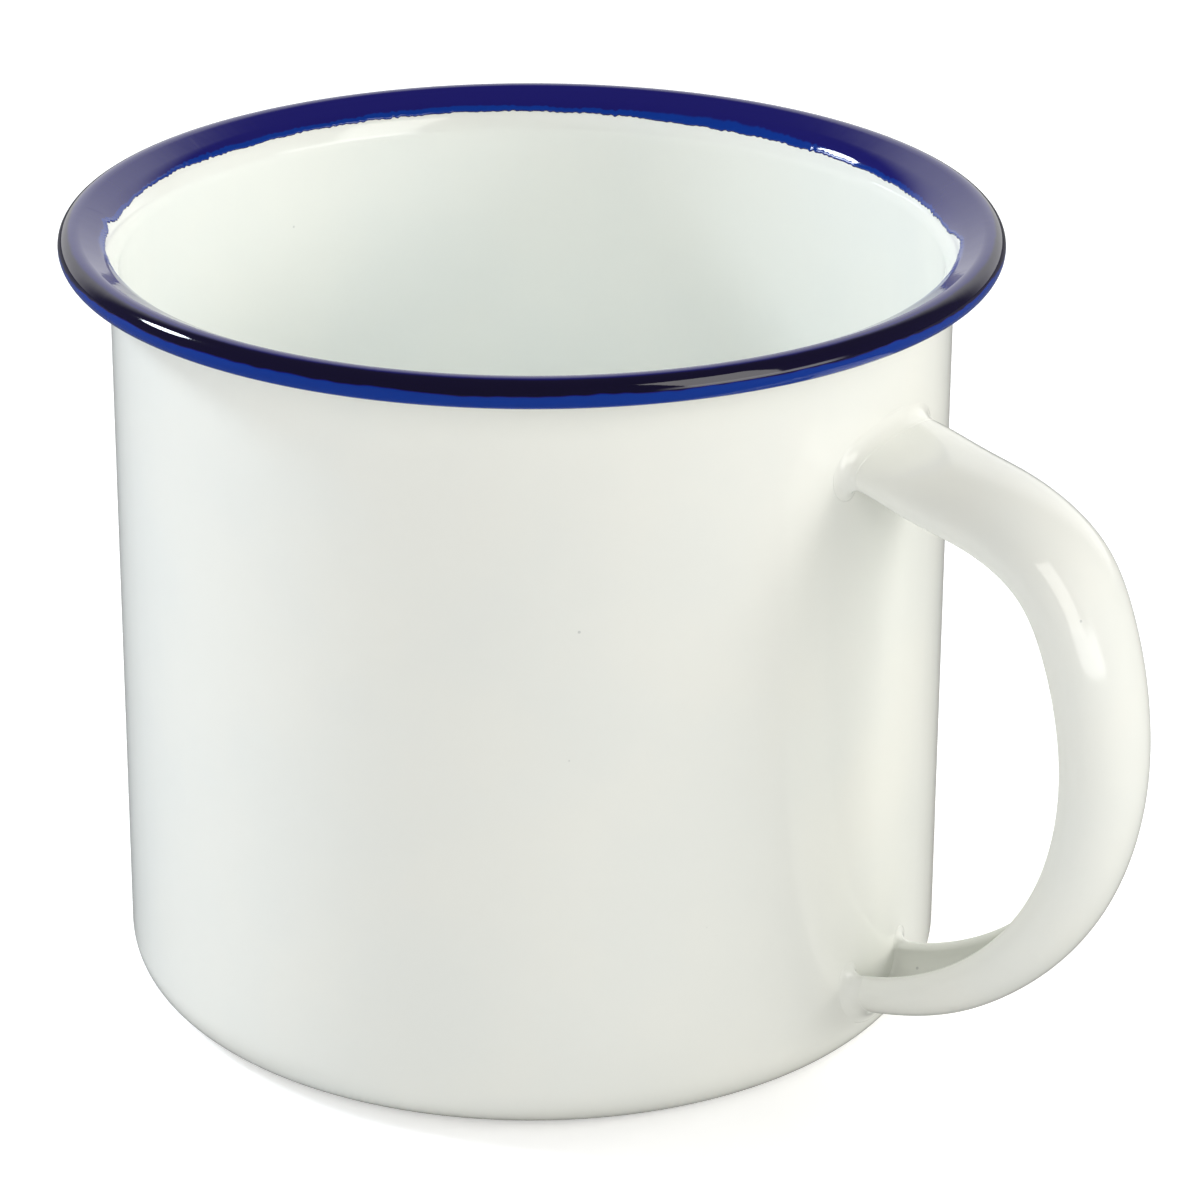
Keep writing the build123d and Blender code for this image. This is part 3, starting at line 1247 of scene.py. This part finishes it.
# ---- Studio ------------------------------------------------------------------------------
@dataclass(frozen=True)
class Softbox:
    """A soft lamp that looks at the mug, round when it is as wide as high.

    azimuth is degrees round the mug from +X, and elevation is degrees above the floor.
    A lamp that is not mirrored lights the glass without showing in it, and one that is not
    shining only shows in it.
    """

    name: str
    azimuth: float
    elevation: float
    distance: float
    width: float
    height: float
    power: float
    colour: tuple[float, float, float]
    mirrored: bool = True
    shining: bool = True

    def build(self, target: Vector) -> bpy.types.Object:
        """Makes the lamp.

        Args:
            target: What it looks at, in metres.

        Returns:
            The lamp.
        """
        lamp = bpy.data.lights.new(self.name, "AREA")
        lamp.shape = "ELLIPSE" if self.width == self.height else "RECTANGLE"
        lamp.size = self.width
        lamp.size_y = self.height
        lamp.energy = self.power
        lamp.color = self.colour
        piece = bpy.data.objects.new(self.name, lamp)
        bpy.context.scene.collection.objects.link(piece)
        around = math.radians(self.azimuth)
        above = math.radians(self.elevation)
        flat = math.cos(above)
        way = Vector((flat * math.cos(around), flat * math.sin(around), math.sin(above)))
        piece.location = target + way * self.distance
        piece.rotation_euler = (-way).to_track_quat("-Z", "Y").to_euler()
        piece.visible_camera = False
        piece.visible_glossy = self.mirrored
        piece.visible_diffuse = self.shining
        return piece


@dataclass
class Studio:
    """Floor, surroundings, lamps and camera."""

    target: Vector
    camera_azimuth: float = 34.66
    camera_elevation: float = 22.996
    camera_distance: float = 464.62
    yaw: float = 0.884
    pitch: float = 0.094
    roll: float = 0.324
    lens: float = 142.58
    sensor: float = 36.0
    floor_radius: float = 3.0
    floor_drop: float = 0.02
    floor_glow: float = 0.35
    floor_pale: float = 0.90
    floor_mirrored: float = 0.16
    mirrored_room: float = 0.09
    mirrored_window: float = 3.2
    ambient: float = 0.53
    behind: float = 0.26
    mouth_glow: float = 0.0110
    mouth_colour: tuple[float, float, float] = (0.80, 0.90, 1.0)
    softboxes: tuple[Softbox, ...] = (
        Softbox("left_key", 197.0, 35.0, 0.9, 0.20, 0.20, 3.5, (0.84, 0.92, 1.0)),
        Softbox("left_fill", 204.0, 9.0, 1.0, 0.8, 0.8, 2.0, (0.86, 0.87, 1.0), mirrored=False),
        Softbox("right_back", 50.0, 20.0, 1.0, 0.6, 0.6, 3.2, (1.0, 0.975, 0.92), mirrored=False),
        Softbox("right_fill", 22.0, 18.0, 1.0, 0.3, 0.3, 2.1, (1.0, 0.975, 0.92), mirrored=False),
        Softbox("right_box", -9.0, 30.0, 1.0, 0.42, 0.75, 3.0, (1.0, 0.98, 0.92), shining=False),
        Softbox("back_fill", 125.0, 32.0, 1.0, 0.7, 0.7, 1.3, (0.95, 0.98, 1.0), mirrored=False),
        Softbox("front_fill", 308.0, 26.0, 1.0, 0.8, 0.8, 2.5, (1.0, 0.97, 0.91), mirrored=False),
    )

    def floor(self) -> None:
        """A wide pale disc under the mug."""
        skin = Skin()
        angles = np.linspace(0, 2 * math.pi, 96, endpoint=False)
        radii = np.array([0.05, 0.3, 1.0]) * self.floor_radius / MM
        numbers = skin.grid(
            ring_points(radii, np.full(3, -self.floor_drop), angles), wrap_columns=True, flip=True
        )
        skin.fan(list(numbers[0]), (0.0, 0.0, -self.floor_drop))
        disc = skin.build("floor")
        material = bpy.data.materials.new("pale_floor")
        graph = Graph(material)
        matt = graph.add("ShaderNodeBsdfDiffuse", inputs={"Color": (self.floor_pale,) * 3})
        dim = graph.add("ShaderNodeBsdfDiffuse", inputs={"Color": (self.floor_mirrored,) * 3})
        glow = graph.add("ShaderNodeEmission", inputs={"Strength": self.floor_glow})
        both = graph.add("ShaderNodeAddShader", inputs={0: matt.outputs[0], 1: glow.outputs[0]})
        path = graph.add("ShaderNodeLightPath")
        mirrored = graph.add(
            "ShaderNodeMixShader",
            inputs={0: path.outputs["Is Glossy Ray"], 1: matt.outputs[0], 2: dim.outputs[0]},
        )
        seen = graph.add(
            "ShaderNodeMixShader",
            inputs={0: path.outputs["Is Camera Ray"], 1: mirrored.outputs[0], 2: both.outputs[0]},
        )
        graph.add("ShaderNodeOutputMaterial", inputs={"Surface": seen.outputs[0]})
        disc.data.materials.append(material)

    def surroundings(self) -> None:
        """A white room that the glass mirrors as dark, with a bright back and a low window."""
        world = bpy.data.worlds.new("studio")
        bpy.context.scene.world = world
        graph = Graph(world)
        way = graph.add("ShaderNodeTexCoord").outputs["Generated"]
        x, y, z = graph.parts(way)
        around = math.radians(self.camera_azimuth)
        front = x * math.sin(around) - y * math.cos(around)
        right = x * math.cos(around) + y * math.sin(around)
        back = front.step(-0.52, -0.80) * z.step(0.90, 0.55)
        window = front.step(0.18, 0.34) * right.step(0.46, 0.62) * z.step(0.22, 0.12)
        mirrored = self.mirrored_room + back + self.mirrored_window * window
        path = graph.add("ShaderNodeLightPath")
        soft = self.ambient * (1.0 - 0.55 * z.step(0.35, 0.95))
        soft = soft + self.behind * front.step(0.35, -0.35)
        diffuse = Value(graph, path.outputs["Is Diffuse Ray"])
        camera = Value(graph, path.outputs["Is Camera Ray"])
        level = mirrored * (1.0 - diffuse) + soft * diffuse
        strength = level * (1.0 - camera) + camera
        light = graph.add(
            "ShaderNodeBackground", inputs={"Color": (1.0, 1.0, 1.0), "Strength": strength}
        )
        graph.add("ShaderNodeOutputWorld", inputs={"Surface": light.outputs[0]})
        world.cycles.sampling_method = "NONE"

    def mouth_lamp(self) -> None:
        """A faint lamp inside the cup, for the light that a bright table throws into it."""
        lamp = bpy.data.lights.new("mouth_lamp", "POINT")
        lamp.energy = self.mouth_glow
        lamp.shadow_soft_size = 0.02
        lamp.color = self.mouth_colour
        piece = bpy.data.objects.new("mouth_lamp", lamp)
        bpy.context.scene.collection.objects.link(piece)
        piece.location = self.target + Vector((0.0, 0.0, 0.012))
        piece.visible_camera = False
        piece.visible_glossy = False

    def camera(self) -> None:
        """The camera, a little off the line to the mug's middle."""
        around = math.radians(self.camera_azimuth)
        above = math.radians(self.camera_elevation)
        flat = self.camera_distance * MM * math.cos(above)
        rise = self.camera_distance * MM * math.sin(above)
        seat = Vector((flat * math.sin(around), -flat * math.cos(around), self.target.z + rise))
        tilt = above + math.radians(self.pitch)
        turn = math.radians(self.yaw) - around
        forward = Vector((
            math.sin(turn) * math.cos(tilt),
            math.cos(turn) * math.cos(tilt),
            -math.sin(tilt),
        ))
        right = forward.cross(Vector((0, 0, 1))).normalized()
        up = right.cross(forward)
        roll = math.radians(self.roll)
        right, up = (
            right * math.cos(roll) + up * math.sin(roll),
            up * math.cos(roll) - right * math.sin(roll),
        )
        lens = bpy.data.cameras.new("camera")
        lens.lens = self.lens
        lens.sensor_width = self.sensor
        lens.clip_start = 0.01
        piece = bpy.data.objects.new("camera", lens)
        bpy.context.scene.collection.objects.link(piece)
        turn_matrix = Matrix((right, up, -forward)).transposed()
        piece.matrix_world = Matrix.Translation(seat) @ turn_matrix.to_4x4()
        bpy.context.scene.camera = piece

    def build(self) -> None:
        """Builds the whole studio."""
        scene = bpy.context.scene
        scene.view_settings.view_transform = "Standard"
        self.floor()
        self.surroundings()
        self.camera()
        self.mouth_lamp()
        for softbox in self.softboxes:
            softbox.build(self.target)


def main() -> None:
    """Builds the mug around the frame, then the studio."""
    logging.basicConfig(level=logging.INFO, format="%(name)s: %(message)s")
    mouth = next(m for m in frame["record"]["mounts"] if m["name"] == "cup_mouth")
    rim_low, rim_high = (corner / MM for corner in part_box("rim_blue_enamel"))
    rim_radius = min(rim_high.x, rim_high.y, -rim_low.x, -rim_low.y)
    cup_sheet = CupSheet(mouth["dims"]["r_mm"], rim_radius, rim_high.z)
    handle_sheet = HandleSheet(cup_sheet.wall, cup_sheet.height)
    paint = Paintbox()
    handle = Handle(handle_sheet)
    pieces = [
        Cup(cup_sheet).build(paint),
        BlueRim(cup_sheet).build(paint),
        handle.build(paint),
        JointGlass(handle, Joint.UPPER).build(paint),
        JointGlass(handle, Joint.LOWER).build(paint),
    ]
    for piece in pieces:
        LOG.info("%s has %d faces", piece.name, len(piece.data.polygons))
    HiddenPieces().dress(paint)
    Studio(Vector((0.0, 0.0, cup_sheet.height * MM / 2))).build()


if __name__ == "__main__":
    main()
